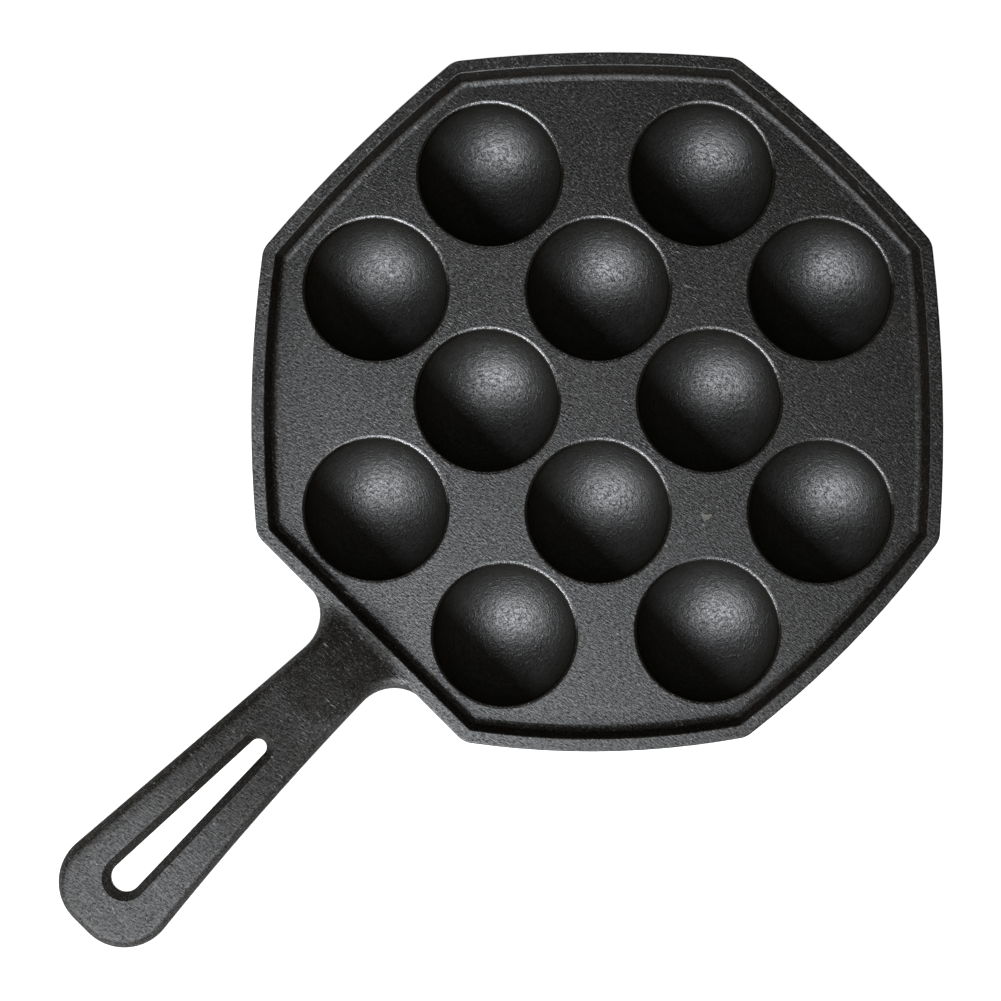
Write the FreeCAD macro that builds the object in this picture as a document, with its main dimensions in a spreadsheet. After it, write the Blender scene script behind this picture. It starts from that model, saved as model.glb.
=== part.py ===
import FreeCAD, Part
import math
import os

import Sketcher

# A one-piece cast-iron takoyaki pan: an eight-sided tray with a raised rim, twelve round cups
# and a fixed handle with a hanging slot. The one casting is given as regions that meet face to
# face: the deck between the cups, the rim with the handle's root, each cup, and the handle.
# Everything is drawn in the pan's own frame, with its centre at X 0 and the handle along -X,
# and each region's Placement then moves it so that the origin is under the middle of the whole.

document = FreeCAD.newDocument("takoyaki_pan")
sheet = document.addObject("Spreadsheet::Sheet", "Sizes")

# Driving dimensions in millimetres and degrees
DRIVING = {
    # Cups
    "ball_radius": 20.3,
    "lip_round": 0.8,
    "cup_land": 0.5,
    "cup_gap": 2.05,
    "cup_floor": 3.6,
    "foot_radius": 6,
    # Tray: eight corners on one circle, each side bowed out by its own bulge
    "deck_thickness": 4,
    "corner_margin": 12.1,
    "corner_round": 6.5,
    "corner_1": 23.05,
    "corner_2": 68.32,
    "corner_3": 110.84,
    "corner_4": 156.6,
    "corner_5": -156.6,
    "corner_6": -111.46,
    "corner_7": -67.4,
    "corner_8": -19.66,
    "bulge_1": 2.1,
    "bulge_2": 1.75,
    "bulge_3": 2.4,
    "bulge_5": 3.4,
    "bulge_6": 2.8,
    "bulge_7": 2,
    "bulge_8": 1.95,
    # Rim
    "rim_width": 3.85,
    "rim_height": 7,
    "rim_draft": 12,
    "rim_foot_round": 2.3,
    "hollow_round": 2.4,
    "rim_edge_round": 0.5,
    "rim_base_round": 2.5,
    "seam_margin": 0.1,
    # Handle
    "handle_length": 112.4,
    "handle_rise": 12.5,
    "tip_thickness": 8,
    "tip_level": 24,
    "root_level": -2.5,
    "root_blend": 10,
    "flare_radius": 12,
    "flare_bite": 0.15,
    "neck_width": 22.9,
    "neck_offset": -1.95,
    "grip_width": 34.9,
    "grip_offset": -1.5,
    "grip_corner": 14.5,
    "upper_hollow": 8000,
    "lower_hollow": 950,
    "handle_edge_round": 3,
    "seam_reach": 16,
    # Hanging slot
    "slot_start_share": 0.372,
    "slot_end_margin": 18.6,
    "slot_near_radius": 2.4,
    "slot_near_offset": -1.35,
    "slot_far_radius": 4.2,
    "slot_far_offset": -0.85,
    "slot_draft_width": 2.3,
    "slot_draft_depth": 3.2,
}

# Each cup's place on the grid: steps across and up, then its own shift in millimetres
CUPS = [
    (-1, 2, 0.8, 1.0),
    (1, 2, -2.2, 1.0),
    (-2, 1, 0, 0),
    (0, 1, 0, 0),
    (2, 1, 0, 0),
    (-1, 0, 0, 0),
    (1, 0, 0, 0),
    (-2, -1, 0, 0.7),
    (0, -1, 0, 0),
    (2, -1, 0, 0),
    (-1, -2, 5.0, -3.5),
    (1, -2, -0.5, -2.3),
]

# The tray has as many sides as corners, and the side with no bulge is straight
SIDES = sum(name.startswith("corner_") and name[7:].isdigit() for name in DRIVING)
STRAIGHT_SIDE = next(side for side in range(1, SIDES + 1) if f"bulge_{side}" not in DRIVING)

# How near two places have to be to count as one
TOUCH = 1e-4

# Rounds of moving a corner onto its two sides in turn, until it lies on both
SETTLING_STEPS = 60

# The slope at which a long side of the handle is first drawn; its constraints then set it
SIDE_LEAN = 4


def next_corner(side):
    """Gives the corner at which a side ends; the sides run anticlockwise."""
    return side % SIDES + 1


def side_formulas(side):
    """Gives the cells of one bowed side's arc: its radius and its centre."""
    start, end = f"corner_{side}", f"corner_{next_corner(side)}"
    half_turn = f"(({end} - {start}) / 2)"
    middle = f"(({end} + {start}) / 2)"
    radius, bulge = f"side_{side}_radius", f"bulge_{side}"
    centre = f"(pan_radius * cos({half_turn}) + {bulge} - {radius})"
    return {
        radius: f"pow(pan_radius * sin({half_turn}); 2) / (2 * {bulge}) + {bulge} / 2",
        f"side_{side}_x": f"{centre} * cos({middle})",
        f"side_{side}_y": f"{centre} * sin({middle})",
    }


def cup_formulas(number, across, up, shift_across, shift_up):
    """Gives the cells of one cup's place, on a grid turned 45 degrees from the handle."""
    along = f"({across} * pitch + {shift_across})"
    rise = f"({up} * pitch + {shift_up})"
    return {
        f"cup_{number:02d}_x": f"({along} + {rise}) * sqrt(0.5)",
        f"cup_{number:02d}_y": f"({rise} - {along}) * sqrt(0.5)",
    }


def derived_formulas():
    """Lists the cells that follow from the driving dimensions."""
    cells = {
        "seam_radius": "ball_radius + lip_round + cup_land",
        "pitch": "(2 * seam_radius + cup_gap) * sqrt(0.5)",
        "pan_radius": "sqrt(5) * pitch + seam_radius + corner_margin",
        "deck_top": "cup_floor + ball_radius",
        "deck_under": "deck_top - deck_thickness",
        "rim_top": "deck_top + rim_height",
        "outline_inset": "0",
        "foot_run": "rim_foot_round * tan(45 - rim_draft / 2)",
        "deck_inset": "rim_width + rim_height * tan(rim_draft) + foot_run + seam_margin",
        "handle_side": "-pan_radius * cos(corner_4)",
        "handle_end": "handle_side + handle_length",
        "far_reach": "pan_radius * cos((corner_1 - corner_8) / 2) + bulge_8",
        "pan_x": "(handle_end - far_reach) / 2",
        "handle_inside": "handle_side - flare_radius",
        "tip_start": "handle_end - tip_level",
        "tip_top": "rim_top + handle_rise",
        "tip_under": "tip_top - tip_thickness",
        "flare_x": "handle_side + flare_radius - flare_bite",
        "flare_reach": "neck_width / 2 + flare_radius",
        "corner_x": "handle_end - grip_corner",
        "corner_reach": "grip_width / 2 - grip_corner",
        "slot_near_x": "handle_side + slot_start_share * handle_length",
        "slot_far_x": "handle_end - slot_end_margin",
        "stock_reach": "neck_width + 2 * flare_radius + grip_width",
        "stock_end": "handle_end + grip_width",
        "stock_inside": "handle_inside - flare_radius",
        "root_end": "handle_side + root_level",
        "seam_x": "handle_side + seam_reach",
    }
    for side in range(1, SIDES + 1):
        if side != STRAIGHT_SIDE:
            cells.update(side_formulas(side))
    for number, place in enumerate(CUPS, 1):
        cells.update(cup_formulas(number, *place))
    return cells


def fill_sheet():
    """Writes every size to the sheet under its own name."""
    cells = {name: str(value) for name, value in DRIVING.items()}
    cells.update({name: "=" + formula for name, formula in derived_formulas().items()})
    for row, (name, text) in enumerate(cells.items(), 1):
        sheet.set(f"A{row}", name)
        sheet.set(f"B{row}", text)
        sheet.setAlias(f"B{row}", name)
    document.recompute()


def size(name):
    """Reads one size from the sheet."""
    return float(sheet.get(name))


def point(x, y):
    """Makes a point in a sketch's plane."""
    return FreeCAD.Vector(x, y, 0)


def new_body(name):
    """Starts a body with its own label."""
    body = document.addObject("PartDesign::Body", name)
    body.Label = name
    return body


def new_sketch(body, name, role, height=None):
    """Starts a sketch on one of the body's own planes, raised by an expression if given."""
    planes = body.Origin.OriginFeatures
    sketch = body.newObject("Sketcher::SketchObject", name)
    sketch.AttachmentSupport = [(next(plane for plane in planes if plane.Role == role), "")]
    sketch.MapMode = "FlatFace"
    if height:
        sketch.setExpression("AttachmentOffset.Base.z", height)
    return sketch


def constrain(sketch, kind, *place):
    """Adds one constraint that has no size."""
    return sketch.addConstraint(Sketcher.Constraint(kind, *place))


def dimension(sketch, kind, *place, to):
    """Adds one dimension, drawn at its value, and binds it to an expression."""
    if kind == "Radius":
        drawn = sketch.Geometry[place[0]].Radius
    else:
        drawn = getattr(sketch.getPoint(*place), kind[-1].lower())
    number = sketch.addConstraint(Sketcher.Constraint(kind, *place, drawn))
    sketch.setExpression(f"Constraints[{number}]", to)


def feature(body, kind, name, **properties):
    """Adds one feature to a body and sets its plain properties."""
    made = body.newObject("PartDesign::" + kind, name)
    for key, value in properties.items():
        setattr(made, key, value)
    return made


def round_edges(body, name, chosen, radius):
    """Rounds those edges of the body's last feature that a test picks."""
    document.recompute()
    base = body.Tip
    edges = [f"Edge{number}" for number, edge in enumerate(base.Shape.Edges, 1) if chosen(edge)]
    fillet = feature(body, "Fillet", name, Base=(base, edges))
    fillet.setExpression("Radius", radius)


def lies_at(edge, height):
    """Tells whether an edge lies flat at one height."""
    box = edge.BoundBox
    return max(abs(box.ZMin - height), abs(box.ZMax - height)) < TOUCH


def crosses(edge, low, high):
    """Tells whether an edge runs from one height up to another."""
    heights = sorted(corner.Z for corner in edge.Vertexes)
    return abs(heights[0] - low) < TOUCH and abs(heights[-1] - high) < TOUCH


def arc(centre, start, end):
    """Makes the anticlockwise arc about a centre from one point to another."""
    spokes = [start - centre, end - centre]
    circle = Part.Circle(centre, FreeCAD.Vector(0, 0, 1), spokes[0].Length)
    return Part.ArcOfCircle(circle, *[math.atan2(spoke.y, spoke.x) for spoke in spokes])


def onto_side(place, side, inset):
    """Moves a point straight onto one side of the outline, which is moved inwards."""
    if side == STRAIGHT_SIDE:
        return point(inset - size("handle_side"), place.y)
    centre = point(size(f"side_{side}_x"), size(f"side_{side}_y"))
    return centre + (place - centre).normalize() * (size(f"side_{side}_radius") - inset)


def corner_point(corner, inset):
    """Finds where the two sides at a corner meet, both moved inwards."""
    turn = math.radians(size(f"corner_{corner}"))
    place = point(math.cos(turn), math.sin(turn)) * size("pan_radius")
    for _ in range(SETTLING_STEPS):
        for side in (corner, corner - 1 or SIDES):
            place = onto_side(place, side, inset)
    return place


def draw_outline(sketch, inset):
    """Draws the eight sides, moved inwards by a cell of the sheet, with sharp corners."""
    corners = [corner_point(corner, size(inset)) for corner in range(1, SIDES + 1)]
    for side, start in enumerate(corners, 1):
        end = corners[side % SIDES]
        if side == STRAIGHT_SIDE:
            sketch.addGeometry(Part.LineSegment(start, end))
        else:
            centre = point(size(f"side_{side}_x"), size(f"side_{side}_y"))
            sketch.addGeometry(arc(centre, start, end))
    for side in range(1, SIDES + 1):
        curve = side - 1
        constrain(sketch, "Coincident", curve, 2, side % SIDES, 1)
        if side == STRAIGHT_SIDE:
            constrain(sketch, "Vertical", curve)
            dimension(sketch, "DistanceX", curve, 1, to=f"Sizes.{inset} - Sizes.handle_side")
        else:
            dimension(sketch, "DistanceX", curve, 3, to=f"Sizes.side_{side}_x")
            dimension(sketch, "DistanceY", curve, 3, to=f"Sizes.side_{side}_y")
            dimension(sketch, "Radius", curve, to=f"Sizes.side_{side}_radius - Sizes.{inset}")


def link(sketch, kind, first, second):
    """Links two curves with one constraint at the ends that lie nearest each other."""
    ends = [(1, 1), (1, 2), (2, 1), (2, 2)]
    gaps = [(sketch.getPoint(first, a) - sketch.getPoint(second, b)).Length for a, b in ends]
    at_first, at_second = ends[gaps.index(min(gaps))]
    constrain(sketch, kind, first, at_first, second, at_second)


def pin(sketch, curve, end, x=None, y=None):
    """Fixes a point of a curve by expressions for its two coordinates."""
    if x:
        dimension(sketch, "DistanceX", curve, end, to=x)
    if y:
        dimension(sketch, "DistanceY", curve, end, to=y)


def make_rim_ring():
    """Makes the rim as a bowed block, hollowed down to the deck and cut open inside."""
    body = new_body("rim_ring")
    outline = new_sketch(body, "rim_outline", "XY_Plane", "Sizes.deck_under")
    draw_outline(outline, "outline_inset")
    block = feature(body, "Pad", "rim_block", Profile=outline)
    block.setExpression("Length", "Sizes.rim_height + Sizes.deck_thickness")
    under, deck, top = size("deck_under"), size("deck_top"), size("rim_top")
    round_edges(body, "rim_corners", lambda edge: crosses(edge, under, top), "Sizes.corner_round")
    round_edges(body, "rim_base", lambda edge: lies_at(edge, under), "Sizes.rim_base_round")
    mouth = new_sketch(body, "rim_mouth", "XY_Plane", "Sizes.rim_top")
    draw_outline(mouth, "rim_width")
    hollow = feature(body, "Pocket", "rim_hollow", Profile=mouth)
    hollow.setExpression("Length", "Sizes.rim_height")
    hollow.setExpression("TaperAngle", "-Sizes.rim_draft")
    round_edges(body, "hollow_corners", lambda edge: crosses(edge, deck, top), "Sizes.hollow_round")
    round_edges(body, "hollow_foot", lambda edge: lies_at(edge, deck), "Sizes.rim_foot_round")
    round_edges(body, "rim_edges", lambda edge: lies_at(edge, top), "Sizes.rim_edge_round")
    window = new_sketch(body, "deck_window", "XY_Plane", "Sizes.deck_top")
    draw_outline(window, "deck_inset")
    feature(body, "Pocket", "deck_opening", Profile=window, Type="ThroughAll")
    document.recompute()
    return body


def make_deck():
    """Makes the deck plate with a hole for every cup."""
    body = new_body("deck")
    outline = new_sketch(body, "deck_outline", "XY_Plane", "Sizes.deck_under")
    draw_outline(outline, "deck_inset")
    plate = feature(body, "Pad", "deck_plate", Profile=outline)
    plate.setExpression("Length", "Sizes.deck_thickness")
    holes = new_sketch(body, "cup_holes", "XY_Plane", "Sizes.deck_top")
    for number in range(len(CUPS)):
        cup = f"cup_{number + 1:02d}"
        centre = point(size(f"{cup}_x"), size(f"{cup}_y"))
        holes.addGeometry(Part.Circle(centre, FreeCAD.Vector(0, 0, 1), size("seam_radius")))
        pin(holes, number, 3, f"Sizes.{cup}_x", f"Sizes.{cup}_y")
        dimension(holes, "Radius", number, to="Sizes.seam_radius")
    feature(body, "Pocket", "cup_openings", Profile=holes, Type="ThroughAll")
    return body


def draw_cup(sketch):
    """Draws half a cup's section: bowl, lip, land, seam, bump and foot."""
    ball, lip, seam = size("ball_radius"), size("lip_round"), size("seam_radius")
    top, under, foot = size("deck_top"), size("deck_under"), size("foot_radius")
    lip_centre = point(math.sqrt((ball + lip) ** 2 - lip ** 2), top - lip)
    lip_start = point(0, top) + (lip_centre - point(0, top)) * (ball / (ball + lip))
    lip_end = point(lip_centre.x, top)
    bump_centre = point(0, (seam ** 2 + under ** 2 - foot ** 2) / (2 * under))
    land_end, seam_end, foot_end = point(seam, top), point(seam, under), point(foot, 0)
    floor = point(0, top - ball)
    bowl, rounded, land, side, bump, base, axis = sketch.addGeometry([
        arc(point(0, top), floor, lip_start),
        arc(lip_centre, lip_end, lip_start),
        Part.LineSegment(lip_end, land_end),
        Part.LineSegment(land_end, seam_end),
        arc(bump_centre, foot_end, seam_end),
        Part.LineSegment(foot_end, point(0, 0)),
        Part.LineSegment(point(0, 0), floor),
    ])
    link(sketch, "Tangent", bowl, rounded)
    link(sketch, "Tangent", rounded, land)
    for first, second in ((land, side), (side, bump), (bump, base), (base, axis), (axis, bowl)):
        link(sketch, "Coincident", first, second)
    constrain(sketch, "Horizontal", land)
    constrain(sketch, "Vertical", side)
    constrain(sketch, "Horizontal", base)
    constrain(sketch, "Coincident", axis, 1, -1, 1)
    for curve, end in ((bowl, 3), (bowl, 1), (bump, 3)):
        constrain(sketch, "PointOnObject", curve, end, -2)
    pin(sketch, bowl, 3, y="Sizes.deck_top")
    pin(sketch, side, 1, "Sizes.seam_radius", "Sizes.deck_top")
    pin(sketch, side, 2, y="Sizes.deck_under")
    pin(sketch, base, 1, "Sizes.foot_radius")
    dimension(sketch, "Radius", bowl, to="Sizes.ball_radius")
    dimension(sketch, "Radius", rounded, to="Sizes.lip_round")


def make_cup(number):
    """Makes one cup by turning its section, and sets it in its hole in the deck."""
    name = f"cup_{number:02d}"
    body = new_body(name)
    section = new_sketch(body, f"{name}_section", "XZ_Plane")
    draw_cup(section)
    feature(body, "Revolution", f"{name}_bowl", Profile=section,
            ReferenceAxis=(section, ["V_Axis"]), Angle=360)
    body.setExpression("Placement.Base.x", f"Sizes.pan_x + Sizes.{name}_x")
    body.setExpression("Placement.Base.y", f"Sizes.{name}_y")
    return body


def draw_rise(sketch, low, high):
    """Draws one long edge of the handle's side view: level, up through a bend, level again."""
    start_x, root_x = -size("handle_inside"), -size("handle_side") - size("root_level")
    tip_x, end_x = -size("tip_start"), -size("handle_end")
    low_z, high_z, blend = size(low), size(high), size("root_blend")
    run, rise = root_x - tip_x, high_z - low_z
    sweep = (run ** 2 + rise ** 2) / (2 * rise) - blend
    blend_centre, sweep_centre = point(root_x, low_z + blend), point(tip_x, high_z - sweep)
    meeting = blend_centre + (sweep_centre - blend_centre) * (blend / (blend + sweep))
    root, bend, back, tip = sketch.addGeometry([
        Part.LineSegment(point(start_x, low_z), point(root_x, low_z)),
        arc(blend_centre, meeting, point(root_x, low_z)),
        arc(sweep_centre, meeting, point(tip_x, high_z)),
        Part.LineSegment(point(tip_x, high_z), point(end_x, high_z)),
    ])
    for first, second in ((root, bend), (bend, back), (back, tip)):
        link(sketch, "Tangent", first, second)
    constrain(sketch, "Horizontal", root)
    constrain(sketch, "Horizontal", tip)
    pin(sketch, root, 1, "-Sizes.handle_inside")
    pin(sketch, root, 2, "-Sizes.handle_side - Sizes.root_level", f"Sizes.{low}")
    pin(sketch, tip, 1, "-Sizes.tip_start", f"Sizes.{high}")
    pin(sketch, tip, 2, "-Sizes.handle_end")
    dimension(sketch, "Radius", bend, to="Sizes.root_blend")
    return root, tip


def make_side_view(body):
    """Pads the handle's side view across its whole width."""
    view = new_sketch(body, f"{body.Name}_side_view", "XZ_Plane")
    top_root, top_tip = draw_rise(view, "rim_top", "tip_top")
    low_root, low_tip = draw_rise(view, "deck_under", "tip_under")
    for over, beneath, end in ((top_root, low_root, 1), (top_tip, low_tip, 2)):
        wall = view.addGeometry(Part.LineSegment(view.getPoint(over, end),
                                                 view.getPoint(beneath, end)))
        constrain(view, "Coincident", wall, 1, over, end)
        constrain(view, "Coincident", wall, 2, beneath, end)
    pad = feature(body, "Pad", f"{body.Name}_band", Profile=view, Midplane=True)
    pad.setExpression("Length", "2 * Sizes.stock_reach")


def draw_handle_side(sketch, hand):
    """Draws one long side of the handle's plan: root, flare, hollow side and end corner."""
    side_hollow = "upper_hollow" if hand > 0 else "lower_hollow"
    flare, corner, hollow = size("flare_radius"), size("grip_corner"), size(side_hollow)
    flare_y = size("neck_offset") + hand * size("flare_reach")
    corner_y = size("grip_offset") + hand * size("corner_reach")
    flare_centre = point(-size("flare_x"), flare_y)
    corner_centre = point(-size("corner_x"), corner_y)
    lean = math.radians(SIDE_LEAN)
    outward = point(math.sin(lean), hand * math.cos(lean))
    flare_start = flare_centre + point(flare, 0)
    flare_end = flare_centre - outward * flare
    corner_start = corner_centre + outward * corner
    corner_end = corner_centre - point(corner, 0)
    chord = corner_start - flare_end
    middle = (corner_start + flare_end) * 0.5
    hollow_centre = middle + outward * math.sqrt(hollow ** 2 - (chord.Length / 2) ** 2)
    curves = [
        (flare_centre, flare_end, flare_start),
        (hollow_centre, corner_start, flare_end),
        (corner_centre, corner_start, corner_end),
    ]
    if hand < 0:
        curves = [(centre, end, start) for centre, start, end in curves]
    root = Part.LineSegment(point(-size("handle_inside"), flare_y), flare_start)
    root, flared, side, rounded = sketch.addGeometry([root] + [arc(*curve) for curve in curves])
    link(sketch, "Coincident", root, flared)
    link(sketch, "Tangent", flared, side)
    link(sketch, "Tangent", side, rounded)
    constrain(sketch, "Horizontal", root)
    sign = "+" if hand > 0 else "-"
    pin(sketch, root, 1, "-Sizes.handle_inside", f"Sizes.neck_offset {sign} Sizes.flare_reach")
    pin(sketch, flared, 3, "-Sizes.flare_x", f"Sizes.neck_offset {sign} Sizes.flare_reach")
    pin(sketch, rounded, 3, "-Sizes.corner_x", f"Sizes.grip_offset {sign} Sizes.corner_reach")
    dimension(sketch, "Radius", flared, to="Sizes.flare_radius")
    dimension(sketch, "Radius", side, to=f"Sizes.{side_hollow}")
    dimension(sketch, "Radius", rounded, to="Sizes.grip_corner")
    return root, rounded


def draw_plan(sketch):
    """Draws the handle's plan, rounded at its end and flared where it meets the rim."""
    upper_root, upper_corner = draw_handle_side(sketch, 1)
    lower_root, lower_corner = draw_handle_side(sketch, -1)
    end_x = -size("handle_end")
    inside = sketch.addGeometry(Part.LineSegment(sketch.getPoint(upper_root, 1),
                                                 sketch.getPoint(lower_root, 1)))
    end = sketch.addGeometry(Part.LineSegment(
        point(end_x, size("grip_offset") + size("corner_reach")),
        point(end_x, size("grip_offset") - size("corner_reach"))))
    for root in (upper_root, lower_root):
        link(sketch, "Coincident", inside, root)
    for corner in (upper_corner, lower_corner):
        link(sketch, "Tangent", end, corner)


def draw_surround(sketch):
    """Draws a rectangle well outside the handle's plan, but for its inner end."""
    left, right, reach = -size("stock_end"), -size("stock_inside"), size("stock_reach")
    places = [point(left, -reach), point(right, -reach), point(right, reach), point(left, reach)]
    first = len(sketch.Geometry)
    for number, place in enumerate(places):
        sketch.addGeometry(Part.LineSegment(place, places[(number + 1) % 4]))
    for number in range(4):
        line, following = first + number, first + (number + 1) % 4
        constrain(sketch, "Coincident", line, 2, following, 1)
        constrain(sketch, "Vertical" if number % 2 else "Horizontal", line)
    pin(sketch, first, 1, "-Sizes.stock_end", "-Sizes.stock_reach")
    pin(sketch, first + 2, 1, "-Sizes.stock_inside", "Sizes.stock_reach")


def draw_slot(sketch):
    """Draws the hanging slot, a teardrop that widens towards the handle's end."""
    near, far = size("slot_near_radius"), size("slot_far_radius")
    near_centre = point(-size("slot_near_x"), size("slot_near_offset"))
    far_centre = point(-size("slot_far_x"), size("slot_far_offset"))
    near_ends = [near_centre + point(0, near), near_centre - point(0, near)]
    far_ends = [far_centre + point(0, far), far_centre - point(0, far)]
    near_arc, far_arc, upper, lower = sketch.addGeometry([
        arc(near_centre, near_ends[1], near_ends[0]),
        arc(far_centre, far_ends[0], far_ends[1]),
        Part.LineSegment(near_ends[0], far_ends[0]),
        Part.LineSegment(near_ends[1], far_ends[1]),
    ])
    for line in (upper, lower):
        link(sketch, "Tangent", line, near_arc)
        link(sketch, "Tangent", line, far_arc)
    pin(sketch, near_arc, 3, "-Sizes.slot_near_x", "Sizes.slot_near_offset")
    pin(sketch, far_arc, 3, "-Sizes.slot_far_x", "Sizes.slot_far_offset")
    dimension(sketch, "Radius", near_arc, to="Sizes.slot_near_radius")
    dimension(sketch, "Radius", far_arc, to="Sizes.slot_far_radius")


def faces_at(shape, edge):
    """Lists the faces that meet at an edge."""
    return [face for face in shape.Faces if any(edge.isSame(other) for other in face.Edges)]


def middle_normal(face):
    """Gives the direction that the middle of a face looks in."""
    low_u, high_u, low_v, high_v = face.ParameterRange
    return face.normalAt((low_u + high_u) / 2, (low_v + high_v) / 2)


def is_wall(face):
    """Tells whether a face stands upright."""
    return abs(middle_normal(face).z) < TOUCH


def borders_wall(shape, edge):
    """Tells whether an edge lies between an upright face and one that lies over or under it."""
    return sum(is_wall(face) for face in faces_at(shape, edge)) == 1


def inside(edge, low_x, high_x, reach):
    """Tells whether an edge lies between two X values and near the handle's middle line."""
    box = edge.BoundBox
    near_line = max(abs(box.YMin), abs(box.YMax)) < reach
    return low_x - TOUCH < box.XMin and box.XMax < high_x + TOUCH and near_line


def cut_slot(body):
    """Cuts the hanging slot and drafts its wall both ways from the middle."""
    slot = new_sketch(body, "slot_outline", "XY_Plane")
    draw_slot(slot)
    feature(body, "Pocket", "hanging_slot", Profile=slot, Type="ThroughAll", Midplane=True)
    document.recompute()
    slotted, reach = body.Tip.Shape, size("slot_far_radius") + abs(size("slot_near_offset"))
    low_x = -size("slot_far_x") - size("slot_far_radius")
    high_x = size("slot_near_radius") - size("slot_near_x")
    edges = [f"Edge{number}" for number, edge in enumerate(slotted.Edges, 1)
             if inside(edge, low_x, high_x, reach) and borders_wall(slotted, edge)]
    draft = feature(body, "Chamfer", "slot_draft", Base=(body.Tip, edges),
                    ChamferType="Two distances")
    draft.setExpression("Size", "Sizes.slot_draft_width")
    draft.setExpression("Size2", "Sizes.slot_draft_depth")


def make_handle_stock():
    """Makes the whole handle, with a root that reaches into the rim."""
    body = new_body("handle_stock")
    make_side_view(body)
    plan = new_sketch(body, "handle_plan", "XY_Plane")
    draw_plan(plan)
    draw_surround(plan)
    feature(body, "Pocket", "handle_trim", Profile=plan, Type="ThroughAll", Midplane=True)
    document.recompute()
    trimmed, end_x = body.Tip.Shape, -size("stock_end")
    flare_x, width = size("flare_radius") - size("flare_x"), size("stock_reach")
    round_edges(body, "handle_edges", lambda edge: inside(edge, end_x, flare_x, width)
                and borders_wall(trimmed, edge), "Sizes.handle_edge_round")
    cut_slot(body)
    return body


def make_slab(name, low_x, length):
    """Makes a plain block as wide as the stock, to part the handle from its root."""
    slab = document.addObject("Part::Box", name)
    slab.setExpression("Length", length)
    slab.setExpression("Width", "2 * Sizes.stock_reach")
    slab.setExpression("Height", "2 * Sizes.tip_top")
    slab.setExpression("Placement.Base.x", low_x)
    slab.setExpression("Placement.Base.y", "-Sizes.stock_reach")
    return slab


def boolean(kind, name, base, tool):
    """Joins or parts two solids."""
    made = document.addObject("Part::" + kind, name)
    made.Base, made.Tool, made.Label = base, tool, name
    return made


def make_handle_and_rim():
    """Parts the handle's root from the handle at the neck and joins the root to the rim."""
    ring, stock = make_rim_ring(), make_handle_stock()
    root_slab = make_slab("root_slab", "-Sizes.seam_x", "Sizes.seam_x - Sizes.root_end")
    tip_slab = make_slab("tip_slab", "-Sizes.stock_end", "Sizes.stock_end - Sizes.seam_x")
    handle = boolean("Common", "handle", stock, tip_slab)
    rim = boolean("Fuse", "rim", ring, boolean("Common", "handle_root", stock, root_slab))
    for region in (handle, rim):
        region.setExpression("Placement.Base.x", "Sizes.pan_x")
    return [handle, rim]


def check(nodes):
    """Stops the build where an object has failed or a region isn't one sound solid."""
    failed = [thing.Name for thing in document.Objects
              if "Invalid" in thing.State or "Error" in thing.State]
    for node in nodes:
        shape = node.Shape
        if shape.isNull() or not shape.isValid() or len(shape.Solids) != 1:
            failed.append(node.Label)
    if failed:
        raise SystemExit("failed: " + ", ".join(failed))


def write(nodes):
    """Writes each region to its own file."""
    os.makedirs("parts", exist_ok=True)
    for node in nodes:
        node.Shape.exportStep(f"parts/{node.Label}.step")
        print(node.Label, round(node.Shape.Volume, 1))


def main():
    """Builds the pan and writes its regions."""
    fill_sheet()
    nodes = [make_deck()] + make_handle_and_rim()
    nodes += [make_cup(number) for number in range(1, len(CUPS) + 1)]
    nodes[0].setExpression("Placement.Base.x", "Sizes.pan_x")
    document.recompute()
    check(nodes)
    write(nodes)


main()
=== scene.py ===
import math

import bmesh
import bpy
from mathutils import Matrix, Vector


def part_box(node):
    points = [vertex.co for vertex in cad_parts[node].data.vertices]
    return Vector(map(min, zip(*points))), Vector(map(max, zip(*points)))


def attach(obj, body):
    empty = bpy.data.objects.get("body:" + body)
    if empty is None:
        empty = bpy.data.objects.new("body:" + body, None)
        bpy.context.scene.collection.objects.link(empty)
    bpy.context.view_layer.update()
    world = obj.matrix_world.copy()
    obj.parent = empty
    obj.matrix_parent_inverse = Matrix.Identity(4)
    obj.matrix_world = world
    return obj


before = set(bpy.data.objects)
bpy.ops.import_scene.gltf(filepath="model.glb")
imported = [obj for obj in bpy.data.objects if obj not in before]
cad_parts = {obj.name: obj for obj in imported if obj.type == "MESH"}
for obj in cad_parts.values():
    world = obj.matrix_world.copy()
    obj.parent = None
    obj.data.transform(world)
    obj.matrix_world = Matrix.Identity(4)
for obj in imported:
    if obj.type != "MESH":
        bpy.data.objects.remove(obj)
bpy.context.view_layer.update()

# All lengths are in metres. The camera looks straight down, and is turned so that in the picture
# the handle points to the lower left. In the frame the handle points along -X.
PICTURE_RIGHT = Vector((math.sqrt(0.5), -math.sqrt(0.5), 0))
PICTURE_UP = Vector((math.sqrt(0.5), math.sqrt(0.5), 0))
PICTURE_WIDTH = 0.2881
SENSOR_WIDTH = 36
DECK_TOP = 0.0239
CAMERA_HEIGHT = 0.9
CAMERA_PLACE = Vector((0.0142, -0.00047, DECK_TOP + CAMERA_HEIGHT))
CAMERA_CLIP = (0.01, 20)

# Light
LAMP_PLACE = (-0.141, -0.261, 0.392)
LAMP_TARGET = (0.02, 0.01, DECK_TOP)
LAMP_SIZE = (0.632, 0.374)
LAMP_POWER = 2.68
LAMP_COLOUR = (0.925, 0.955, 1.0)
ROOM_LIGHT = (0.2, 0.2, 0.2, 1)
BACKDROP = (0.18, 0.4, 1.0, 0.02)

# Floor
FLOOR_RADIUS = 6
FLOOR_SIDES = 96
FLOOR_HEIGHT = -0.0001
FLOOR_COLOUR = (0.8, 0.8, 0.8, 1)
FLOOR_GLOW = 0.9

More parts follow.
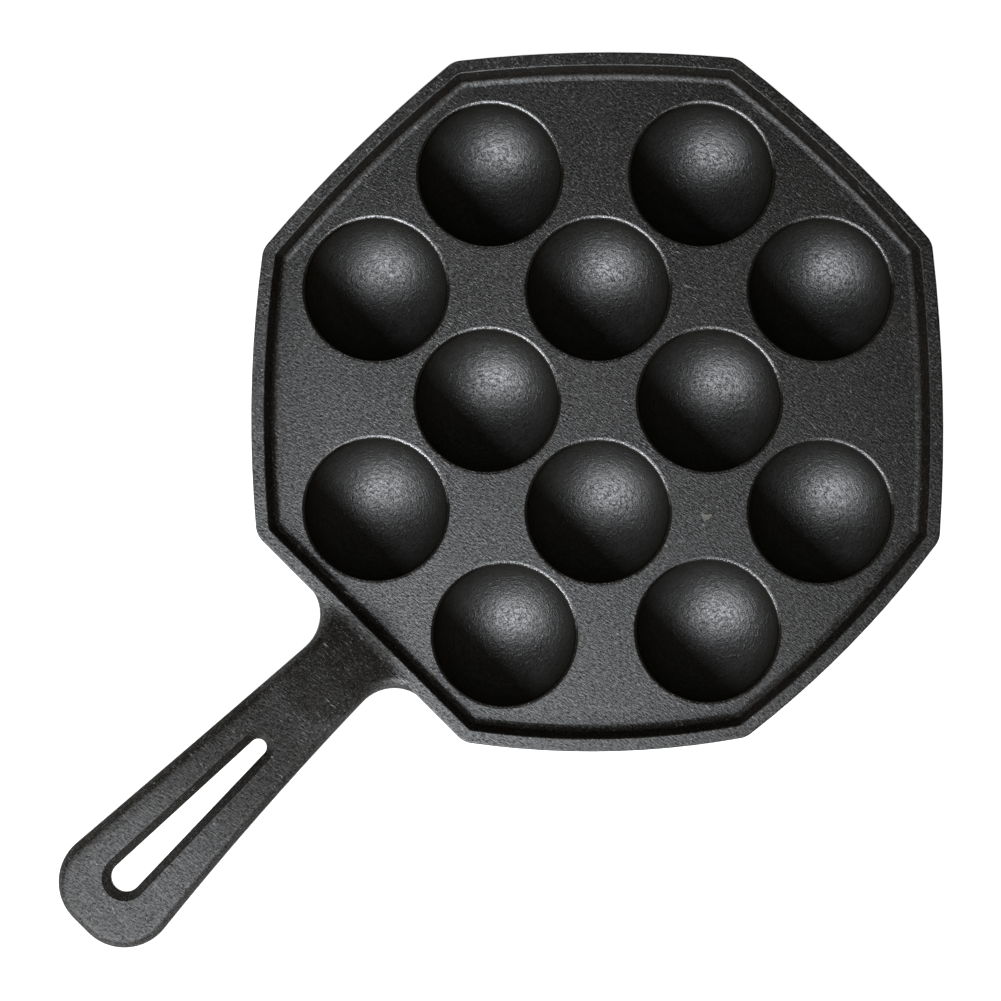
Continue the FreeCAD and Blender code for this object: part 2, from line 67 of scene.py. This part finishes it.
# Colours of the iron
IRON_DARK = (0.0080, 0.0065, 0.0045, 1)
IRON_LIGHT = (0.0150, 0.0125, 0.0090, 1)
IRON_BOWL = (0.0065, 0.0052, 0.0025, 1)
IRON_GLINT = (0.42, 0.42, 0.43, 1)
IRON_BARE = (0.27, 0.265, 0.23, 1)
BARE_SHADE = 0.6

# Finish of the iron
IRON_REFRACTION = 2.1
IRON_ROUGHNESS = (0.35, 0.41)
BOWL_ROUGHER = 0.06
RING_SMOOTHER = -0.13

# Noises: how fine they are, their detail, roughness and distortion
GRAIN = (1300, 3, 0.6, 0.4)
FINE = (2600, 2, 0.6)
COARSE = (700, 2, 0.5, 0.5)
BLOTCH = (60, 3, 0.6)
BLOTCH_RANGE = (0.3, 0.7)
WRINKLE = (1.0, 3, 0.62, 0.6)
WRINKLE_AT_AXIS = (1500, 3, 0.62, 0.6)

# Strokes: their turn in degrees and their length, then their noise
BRUSH = (-80, 3.2, (2300, 2, 0.55, 0.4))
SCRATCH = (-88, 4.5, (1500, 2, 0.55, 0.8))

# How much each noise adds to the relief, in metres, and to the glints and the tone
IRON_RELIEF = (0.00010, 0.00012, 0.00005, 0.00006)
IRON_GLINTS = (0.25, 0.3, 0.5)
IRON_TONE = (1.3, 1.1, 0.8)
BOWL_RELIEF = (0.00015, 0.00022, 0.00004, 0.00006)
BOWL_TONE = (1.0, 1.1, 0.55)

# Parts of a noise that stand out as marks
STREAKS = (0.66, 0.74)
FLECKS = (0.62, 0.72)
SCRATCHES = (0.68, 0.74)
GRIT = (0.56, 0.68)
GRIT_GLINT = 0.12
CREST_GLINT = 0.005
CREST_SHARPNESS = 4.0

# Cups, measured from the middle of the ball or from its axis
BALL_RADIUS = 0.0203
BOWL_END = (BALL_RADIUS + 0.0001, BALL_RADIUS + 0.0006, 1.0, 0.0)
LIP = (BALL_RADIUS - 0.0001, 0.0214)
LIP_DROP = 0.0005
LIP_ROUNDNESS = 1.3
LIP_GLINT = (0.7, 1.0)
RING_START = (0.2, 0.4)
RING_END = (0.6, 0.85, 1.0, 0.0)
RING_SHINE = (0.38, 0.62, -0.7, 2.6)
# Painted shade over a cup's lip and the top of its wall, left off on the upper right, where the
# lip faces the lamp
LIP_SHADE_RADIUS = 0.0213
LIP_SHADE_END = (LIP_SHADE_RADIUS - 0.0001, LIP_SHADE_RADIUS + 0.0001, 0.06, 1.0)
LIP_SHADE_FLATNESS = 1.025
LIP_SHADE_DEPTH = (DECK_TOP - 0.003, DECK_TOP - 0.001, 1.0, 0.0)
LIP_LIT_SIDE = PICTURE_RIGHT * 0.5 + PICTURE_UP * 0.866
LIP_LIT_SPREAD = (0.55, 0.8)

# Wrinkles of a bowl, which run round its axis
WRINKLES_DOWN = 1500
WRINKLES_ROUND = 7.0
WRINKLES_APART = 900.0
AXIS_END = (0.08, 0.25)

# Sheen by the slope of a face: its rise from 0 to 1, and the share of sheen at either end
CUP_SLOPE = (0.15, 0.7, 0.2, 1.0)
SLOPE = (0.55, 0.96, 0.08, 1.0)
SIDE_SLOPE = (0.12, 0.45, 0.5, 0.0)
SIDE_OUTWARD = (-0.5, -0.2)
UNDERSIDE = (-0.3, 0.0, 0.5, 1.0)
BOWL_SHEEN = (0.0, 1.0, 0.5, 0.85)
TONE_SHEEN = (1.15, 2.05, 0.15, 1.75)

# Painted shade and light by place along X, from the rim out to the handle's end
PAN_MIDDLE = (0.0483, -0.0003, 0.0239)
FILLET_PAINTED_SHADE = (0.08, 0.4, 1.0, 0.15)
FILLET_END = (-0.058, -0.054)
NECK = (-0.051, -0.001, 0)
NECK_SHAPE = (0.75, 1.0, 0)
NECK_PAINTED_SHADE = (0.0115, 0.0155, 0.42, 1.0)
GRIP_DARKER = (-0.056, -0.078, 1.0, 0.42)
GRIP_LIGHTER = (-0.098, -0.118, 1.0, 1.38)

# Painted shade along the handle's left edge, which is a leaning line
EDGE_LEAN = -0.065
EDGE_PLACE = 0.0058
EDGE_START = (-0.060, -0.075)
EDGE_PAINTED_SHADE = (0.0005, 0.005, 0.45, 1.0)

# Painted shade: sheen that falls toward the right of the picture, and is lower on the handle
PAINTED_FALLOFF = (-0.045, 0.115, 1.27, 0.57)
HANDLE_PAINTED_SHADE = (-0.050, -0.062, 1.0, 0.79)

# The scab on the deck: its place and outline in the picture, the outline in millimetres
SCAB_PLACE = (0.0592, -0.0048)
SCAB_OUTLINE = ((-1.75, 0.75), (-1.1, 1.15), (0.2, 0.85), (1.5, 1.15), (2.05, 0.75),
                (1.35, -0.1), (0.5, -0.75), (-0.35, -1.35), (-0.8, -0.9), (-1.0, -0.1))
SCAB_FOOT = DECK_TOP - 0.0001
SCAB_CROWN = DECK_TOP + 0.00042
SCAB_CROWN_SCALE = (0.00085, 0.00082)
SCAB_TILT = 0.00014


def in_picture(right, up, height):
    """Gives the point at a height that lies right of and above the picture's middle."""
    place = CAMERA_PLACE + PICTURE_RIGHT * right + PICTURE_UP * up
    return Vector((place.x, place.y, height))


class Nodes:
    """A short way to lay shader nodes."""

    def __init__(self, tree):
        self.tree = tree

    def add(self, kind, **settings):
        """Adds a node and sets its plain properties."""
        node = self.tree.nodes.new(kind)
        for name, value in settings.items():
            setattr(node, name, value)
        return node

    def join(self, source, socket):
        """Feeds a socket from an output, or sets it to a plain value."""
        if isinstance(source, bpy.types.NodeSocket):
            self.tree.links.new(source, socket)
        else:
            socket.default_value = source

    def math(self, operation, *inputs, clamp=False):
        """Adds a Math node."""
        node = self.add("ShaderNodeMath", operation=operation, use_clamp=clamp)
        for number, value in enumerate(inputs):
            self.join(value, node.inputs[number])
        return node.outputs[0]

    def product(self, *factors):
        """Multiplies numbers one after another."""
        result = factors[0]
        for factor in factors[1:]:
            result = self.math("MULTIPLY", result, factor)
        return result

    def total(self, *parts):
        """Adds up pairs of a value and its factor."""
        result = 0.0
        for value, factor in parts:
            result = self.math("MULTIPLY_ADD", value, factor, result)
        return result

    def vector(self, operation, *inputs):
        """Adds a Vector Math node."""
        node = self.add("ShaderNodeVectorMath", operation=operation)
        for number, value in enumerate(inputs):
            if operation == "SCALE" and number == 1:
                self.join(value, node.inputs["Scale"])
            else:
                self.join(value, node.inputs[number])
        return node.outputs["Value" if operation in ("LENGTH", "DOT_PRODUCT") else "Vector"]

    def length_of(self, vector):
        """Measures a vector."""
        return self.vector("LENGTH", vector)

    def parts_of(self, vector):
        """Splits a vector into X, Y and Z."""
        node = self.add("ShaderNodeSeparateXYZ")
        self.join(vector, node.inputs[0])
        return node.outputs

    def joined(self, **parts):
        """Makes a vector from some of its X, Y and Z."""
        node = self.add("ShaderNodeCombineXYZ")
        for name, value in parts.items():
            self.join(value, node.inputs[name])
        return node.outputs[0]

    def noise(self, place, scale, detail=2.0, roughness=0.5, distortion=0.0):
        """Adds a Noise texture with its values about 0.5."""
        node = self.add("ShaderNodeTexNoise")
        for name, value in (("Vector", place), ("Scale", scale), ("Detail", detail),
                            ("Roughness", roughness), ("Distortion", distortion)):
            self.join(value, node.inputs[name])
        return node.outputs["Fac"]

    def strokes(self, place, turn, length, noise):
        """Adds noise drawn out into short strokes that run down to the right in the picture."""
        node = self.add("ShaderNodeMapping", vector_type="TEXTURE")
        self.join(place, node.inputs["Vector"])
        node.inputs["Rotation"].default_value = (0, 0, math.radians(turn))
        node.inputs["Scale"].default_value = (length, 1, 1)
        return self.noise(node.outputs["Vector"], *noise)

    def spread(self, value, low, high, to_low=0.0, to_high=1.0):
        """Maps one range onto another, clamped."""
        node = self.add("ShaderNodeMapRange")
        for number, part in enumerate((value, low, high, to_low, to_high)):
            self.join(part, node.inputs[number])
        return node.outputs[0]

    def blend(self, share, first, second):
        """Mixes two numbers."""
        node = self.add("ShaderNodeMix", data_type="FLOAT")
        self.join(share, node.inputs[0])
        self.join(first, node.inputs[2])
        self.join(second, node.inputs[3])
        return node.outputs[0]

    def mix(self, share, first, second):
        """Mixes two colours."""
        node = self.add("ShaderNodeMix", data_type="RGBA")
        self.join(share, node.inputs["Factor"])
        self.join(first, node.inputs[6])
        self.join(second, node.inputs[7])
        return node.outputs[2]

    def end(self, kind, shader):
        """Feeds the tree's output node."""
        self.join(shader, self.add(kind).inputs["Surface"])


def new_material(name):
    """Starts a material with an empty tree."""
    material = bpy.data.materials.new(name)
    material.use_nodes = True
    material.node_tree.nodes.clear()
    return material, Nodes(material.node_tree)


class Iron:
    """Seasoned cast iron. The iron of a cup, given its ball's centre, has a smoother bowl."""

    def __init__(self, name, centre=None, bare_and_lit_side=None):
        self.material, self.nodes = new_material(name)
        self.place = self.nodes.add("ShaderNodeTexCoord").outputs["Object"]
        self.normal = self.nodes.add("ShaderNodeNewGeometry").outputs["Normal"]
        self.centre = centre
        self.bare_and_lit_side = bare_and_lit_side
        self.well, self.ring, self.painted_lip_shade = 0.0, 0.0, 1.0
        self.lay_grain()
        if centre:
            self.lay_bowl()
            self.lay_lip()
        self.finish()

    def lay_grain(self):
        """Lays the relief, glints and tone that all the iron has."""
        nodes = self.nodes
        self.grain = nodes.noise(self.place, *GRAIN)
        self.fine = nodes.noise(self.place, *FINE)
        brush = nodes.strokes(self.place, *BRUSH)
        streak = nodes.spread(brush, *STREAKS)
        fleck = nodes.spread(self.fine, *FLECKS)
        scratch = nodes.spread(nodes.strokes(self.place, *SCRATCH), *SCRATCHES)
        self.height = nodes.total(*zip((self.grain, brush, streak, fleck), IRON_RELIEF))
        self.glint = nodes.total(*zip((streak, fleck, scratch), IRON_GLINTS))
        self.tone = nodes.total(*zip((brush, self.grain, self.fine), IRON_TONE))

    def from_axis(self):
        """Gives the way from a cup's axis to the place, with no height."""
        off = self.nodes.vector("SUBTRACT", self.place, self.centre)
        return self.nodes.vector("MULTIPLY", off, (1, 1, 0))

    def wrinkles(self):
        """Adds noise drawn out round a cup's axis, and even near the axis itself."""
        nodes, off = self.nodes, self.from_axis()
        reach = nodes.math("MULTIPLY", nodes.length_of(off), 1 / BALL_RADIUS, clamp=True)
        arc = nodes.math("MULTIPLY", nodes.math("ARCSINE", reach), BALL_RADIUS * WRINKLES_DOWN)
        around = nodes.vector("SCALE", nodes.vector("NORMALIZE", off), WRINKLES_ROUND)
        seat = nodes.vector("SCALE", self.centre, WRINKLES_APART)
        turned = nodes.vector("ADD", nodes.vector("ADD", around, nodes.joined(Z=arc)), seat)
        return nodes.blend(nodes.spread(reach, *AXIS_END),
                           nodes.noise(self.place, *WRINKLE_AT_AXIS),
                           nodes.noise(turned, *WRINKLE))

    def lay_bowl(self):
        """Changes the finish inside the bowl, by the distance from the ball's centre."""
        nodes = self.nodes
        off = nodes.vector("SUBTRACT", self.place, self.centre)
        self.well = nodes.spread(nodes.length_of(off), *BOWL_END)
        wrinkle = self.wrinkles()
        away = nodes.math("ABSOLUTE", nodes.math("SUBTRACT", wrinkle, 0.5))
        crest = nodes.math("SUBTRACT", 1.0, nodes.math("MULTIPLY", away, CREST_SHARPNESS),
                           clamp=True)
        coarse = nodes.noise(self.place, *COARSE)
        height = nodes.total(*zip((coarse, wrinkle, crest, self.fine), BOWL_RELIEF))
        tone = nodes.total(*zip((wrinkle, self.fine, 1.0), BOWL_TONE))
        glint = nodes.math("MULTIPLY", crest, CREST_GLINT)
        self.height = nodes.blend(self.well, self.height, height)
        self.glint = nodes.blend(self.well, self.glint, glint)
        self.tone = nodes.blend(self.well, self.tone, tone)

    def lay_lip(self):
        """Wears the lip down, and gives it a bright ring with painted glints. Adds painted shade
        over the lip and the top of the wall, except on the side that faces the lamp.
        """
        nodes = self.nodes
        lip = nodes.spread(nodes.length_of(self.from_axis()), *LIP)
        inner = nodes.math("POWER", nodes.math("SUBTRACT", 1.0, lip), LIP_ROUNDNESS)
        self.height = nodes.math("ADD", self.height, nodes.math("MULTIPLY", inner, -LIP_DROP))
        self.ring = nodes.product(nodes.spread(lip, *RING_START), nodes.spread(lip, *RING_END))
        self.painted_lip_shade = nodes.math("MAXIMUM", self.painted_shade_by_side(),
                               nodes.spread(nodes.parts_of(self.place)["Z"], *LIP_SHADE_DEPTH))
        grit = nodes.product(self.ring, nodes.spread(self.fine, *GRIT), GRIT_GLINT)
        glint = nodes.product(self.glint, nodes.spread(lip, *LIP_GLINT))
        self.glint = nodes.product(nodes.math("ADD", glint, grit, clamp=True), self.painted_lip_shade)

    def painted_shade_by_side(self):
        """Is near 0 where painted shade runs over a cup's lip, and 1 beyond it.

        The painted shade ends on an oval, a little wider than tall in the picture. On the upper
        right the lip faces the lamp and gets no painted shade, so the dark stops at the wall
        there.
        """
        nodes, off = self.nodes, self.from_axis()
        right = nodes.vector("DOT_PRODUCT", off, PICTURE_RIGHT)
        up = nodes.vector("DOT_PRODUCT", off, PICTURE_UP)
        oval = nodes.joined(X=right, Y=nodes.math("MULTIPLY", up, LIP_SHADE_FLATNESS))
        # How far the lip turns toward the upper right, where it faces the lamp and gets no
        # painted shade
        bare_and_lit_side = nodes.vector("DOT_PRODUCT", nodes.vector("NORMALIZE", off), LIP_LIT_SIDE)
        return nodes.blend(nodes.spread(bare_and_lit_side, *LIP_LIT_SPREAD),
                           nodes.spread(nodes.length_of(oval), *LIP_SHADE_END), 1.0)

    def colour(self, blotch):
        """Gives the colour: blotched iron with glints on it."""
        nodes = self.nodes
        base = nodes.mix(nodes.spread(blotch, *BLOTCH_RANGE), IRON_DARK, IRON_LIGHT)
        base = nodes.mix(self.well, base, IRON_BOWL)
        if self.bare_and_lit_side:
            shaded = [BARE_SHADE * part for part in self.bare_and_lit_side]
            base = nodes.mix(nodes.spread(self.grain, *BLOTCH_RANGE), shaded, self.bare_and_lit_side)
        return nodes.mix(self.glint, base, IRON_GLINT)

    def roughness(self, blotch):
        """Gives the roughness, which is higher in a bowl and lower on its ring."""
        nodes = self.nodes
        rough = nodes.spread(blotch, *BLOTCH_RANGE, *IRON_ROUGHNESS)
        rough = nodes.math("ADD", rough, nodes.math("MULTIPLY", self.well, BOWL_ROUGHER))
        if self.centre:
            rough = nodes.math("ADD", rough, nodes.math("MULTIPLY", self.ring, RING_SMOOTHER))
        return rough

    def sheen_by_slope(self):
        """Gives the share of sheen that a face has for its slope, with less below the pan."""
        nodes, rise = self.nodes, self.nodes.parts_of(self.normal)["Z"]
        steepness = nodes.math("ABSOLUTE", rise)
        if self.centre:
            level = nodes.spread(steepness, *CUP_SLOPE)
        else:
            off = nodes.vector("SUBTRACT", self.place, PAN_MIDDLE)
            facing = nodes.vector("DOT_PRODUCT", self.normal, nodes.vector("NORMALIZE", off))
            sides = nodes.product(nodes.spread(steepness, *SIDE_SLOPE),
                                  nodes.spread(facing, *SIDE_OUTWARD))
            level = nodes.math("ADD", nodes.spread(steepness, *SLOPE), sides)
        return nodes.product(level, nodes.spread(rise, *UNDERSIDE))

    def sheen_by_place(self):
        """Gives the factors of painted shade and light on the handle, round its neck and across
        the pan.
        """
        nodes = self.nodes
        where = nodes.parts_of(self.place)
        far, aside = where["X"], where["Y"]
        # Painted shade round the handle's neck
        off = nodes.vector("MULTIPLY", nodes.vector("SUBTRACT", self.place, NECK), NECK_SHAPE)
        neck_shade = nodes.spread(nodes.length_of(off), *NECK_PAINTED_SHADE)
        # Painted shade along the handle's left edge, from the edge inward
        inward = nodes.total((far, EDGE_LEAN), (aside, -1.0), (1.0, EDGE_PLACE))
        edge = nodes.blend(nodes.spread(far, *EDGE_START), 1.0,
                           nodes.spread(inward, *EDGE_PAINTED_SHADE))
        # Painted shade that grows toward the right of the picture and on the handle, but not in
        # the bowls
        right = nodes.vector("DOT_PRODUCT", nodes.vector("SUBTRACT", self.place, CAMERA_PLACE),
                             PICTURE_RIGHT)
        painted_falloff = nodes.product(nodes.spread(right, *PAINTED_FALLOFF),
                               nodes.spread(far, *HANDLE_PAINTED_SHADE))
        # Painted shade on the pan's faces that turn toward +X, away from the lamp; none on the
        # handle
        tilt = nodes.product(nodes.parts_of(self.normal)["X"],
                             nodes.spread(far, *FILLET_END))
        # Painted shade over the grip and painted light toward the handle's end, then the other
        # painted factors
        return (nodes.spread(far, *GRIP_DARKER), nodes.spread(far, *GRIP_LIGHTER), neck_shade, edge,
                nodes.blend(self.well, painted_falloff, 1.0), nodes.spread(tilt, *FILLET_PAINTED_SHADE))

    def sheen(self):
        """Gives the sheen, by slope, finish, tone and place."""
        nodes = self.nodes
        shine = nodes.product(self.sheen_by_slope(), nodes.spread(self.well, *BOWL_SHEEN),
                              nodes.spread(self.tone, *TONE_SHEEN))
        if self.centre:
            ring = nodes.product(self.ring, nodes.spread(self.fine, *RING_SHINE))
            # The painted shade over the lip dims the sheen, except where the lip faces the lamp
            shine = nodes.product(shine, nodes.math("ADD", ring, 1.0), self.painted_lip_shade)
        return nodes.product(shine, *self.sheen_by_place())

    def finish(self):
        """Joins it all in one shader."""
        nodes = self.nodes
        blotch = nodes.noise(self.place, *BLOTCH)
        bump = nodes.add("ShaderNodeBump")
        bump.inputs["Strength"].default_value = 1.0
        bump.inputs["Distance"].default_value = 1.0
        nodes.join(self.height, bump.inputs["Height"])
        shader = nodes.add("ShaderNodeBsdfPrincipled")
        shader.inputs["IOR"].default_value = IRON_REFRACTION
        nodes.join(self.colour(blotch), shader.inputs["Base Color"])
        nodes.join(self.roughness(blotch), shader.inputs["Roughness"])
        nodes.join(self.sheen(), shader.inputs["Specular IOR Level"])
        nodes.join(bump.outputs[0], shader.inputs["Normal"])
        nodes.end("ShaderNodeOutputMaterial", shader.outputs[0])


def dress(name, material):
    """Gives a CAD node its material."""
    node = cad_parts[name]
    node.data.materials.clear()
    node.data.materials.append(material)


def dress_all():
    """Gives every region of the casting its iron."""
    plain = Iron("iron").material
    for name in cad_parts:
        if name.startswith("cup_"):
            low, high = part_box(name)
            middle = (low + high) / 2
            dress(name, Iron(name + "_iron", centre=(middle.x, middle.y, DECK_TOP)).material)
        else:
            dress(name, plain)


def scab_mesh():
    """Draws the scab's mesh: a foot in the deck, a smaller tilted crown and sides between."""
    foot, crown = [], []
    for right, up in SCAB_OUTLINE:
        foot.append(in_picture(SCAB_PLACE[0] + right / 1000, SCAB_PLACE[1] + up / 1000,
                               SCAB_FOOT))
        crown.append(in_picture(SCAB_PLACE[0] + right * SCAB_CROWN_SCALE[0],
                                SCAB_PLACE[1] + up * SCAB_CROWN_SCALE[1],
                                SCAB_CROWN + SCAB_TILT * right - SCAB_TILT * up))
    count = len(SCAB_OUTLINE)
    faces = [[n, (n + 1) % count, count + (n + 1) % count, count + n] for n in range(count)]
    faces.append(list(range(count, 2 * count)))
    faces.append(list(range(count - 1, -1, -1)))
    mesh = bpy.data.meshes.new("casting_scab")
    mesh.from_pydata(foot + crown, [], faces)
    mesh.validate()
    shape = bmesh.new()
    shape.from_mesh(mesh)
    bmesh.ops.recalc_face_normals(shape, faces=shape.faces)
    shape.to_mesh(mesh)
    shape.free()
    return mesh


def make_scab():
    """Lays the small flat scab that the casting keeps on its deck."""
    scab = bpy.data.objects.new("casting_scab", scab_mesh())
    bpy.context.scene.collection.objects.link(scab)
    scab.data.materials.append(Iron("scab_iron", bare_and_lit_side=IRON_BARE).material)
    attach(scab, "root")


def background_share(nodes):
    """Is 1 for the rays that show the background: camera, glossy and transmission rays."""
    path = nodes.add("ShaderNodeLightPath").outputs
    share = nodes.math("MAXIMUM", path["Is Camera Ray"], path["Is Glossy Ray"])
    return nodes.math("MAXIMUM", share, path["Is Transmission Ray"])


def make_floor():
    """Lays a pale floor that shows white but keeps the pan's shadow."""
    bpy.ops.mesh.primitive_circle_add(vertices=FLOOR_SIDES, radius=FLOOR_RADIUS,
                                      fill_type="NGON", location=(0, 0, FLOOR_HEIGHT))
    floor = bpy.context.object
    floor.name = "floor"
    material, nodes = new_material("floor_paper")
    matte = nodes.add("ShaderNodeBsdfDiffuse")
    matte.inputs["Color"].default_value = FLOOR_COLOUR
    glow = nodes.add("ShaderNodeEmission")
    nodes.join(nodes.product(background_share(nodes), FLOOR_GLOW), glow.inputs["Strength"])
    both = nodes.add("ShaderNodeAddShader")
    nodes.join(matte.outputs[0], both.inputs[0])
    nodes.join(glow.outputs[0], both.inputs[1])
    nodes.end("ShaderNodeOutputMaterial", both.outputs[0])
    floor.data.materials.append(material)


def make_world():
    """Makes a room that looks pale round the horizon and dark overhead."""
    world = bpy.data.worlds.new("studio")
    bpy.context.scene.world = world
    world.use_nodes = True
    world.node_tree.nodes.clear()
    nodes = Nodes(world.node_tree)
    direction = nodes.add("ShaderNodeTexCoord").outputs["Generated"]
    backdrop = nodes.spread(nodes.parts_of(direction)["Z"], *BACKDROP)
    background = nodes.add("ShaderNodeBackground")
    nodes.join(nodes.mix(background_share(nodes), ROOM_LIGHT, backdrop),
               background.inputs["Color"])
    nodes.end("ShaderNodeOutputWorld", background.outputs[0])


def make_lamp():
    """Hangs one soft box that faces the pan, its width along the picture's own."""
    lamp = bpy.data.lights.new("key", "AREA")
    lamp.shape = "RECTANGLE"
    lamp.size, lamp.size_y = LAMP_SIZE
    lamp.energy = LAMP_POWER
    lamp.color = LAMP_COLOUR
    lamp_object = bpy.data.objects.new("key", lamp)
    bpy.context.scene.collection.objects.link(lamp_object)
    place, target = in_picture(*LAMP_PLACE), in_picture(*LAMP_TARGET)
    facing = (target - place).normalized()
    across = facing.cross(PICTURE_UP).normalized()
    turn = Matrix((across, across.cross(facing), -facing)).transposed()
    lamp_object.matrix_world = Matrix.Translation(place) @ turn.to_4x4()
    lamp_object.visible_camera = False


def make_camera():
    """Sets the camera straight over the pan, turned so that the handle points lower left."""
    camera = bpy.data.cameras.new("camera")
    camera.sensor_width = SENSOR_WIDTH
    camera.lens = SENSOR_WIDTH * CAMERA_HEIGHT / PICTURE_WIDTH
    camera.clip_start, camera.clip_end = CAMERA_CLIP
    camera_object = bpy.data.objects.new("camera", camera)
    bpy.context.scene.collection.objects.link(camera_object)
    turn = Matrix((PICTURE_RIGHT, PICTURE_UP, Vector((0, 0, 1)))).transposed()
    camera_object.matrix_world = Matrix.Translation(CAMERA_PLACE) @ turn.to_4x4()
    bpy.context.scene.camera = camera_object


dress_all()
make_scab()
make_floor()
make_world()
make_lamp()
make_camera()
bpy.context.scene.view_settings.view_transform = "Standard"
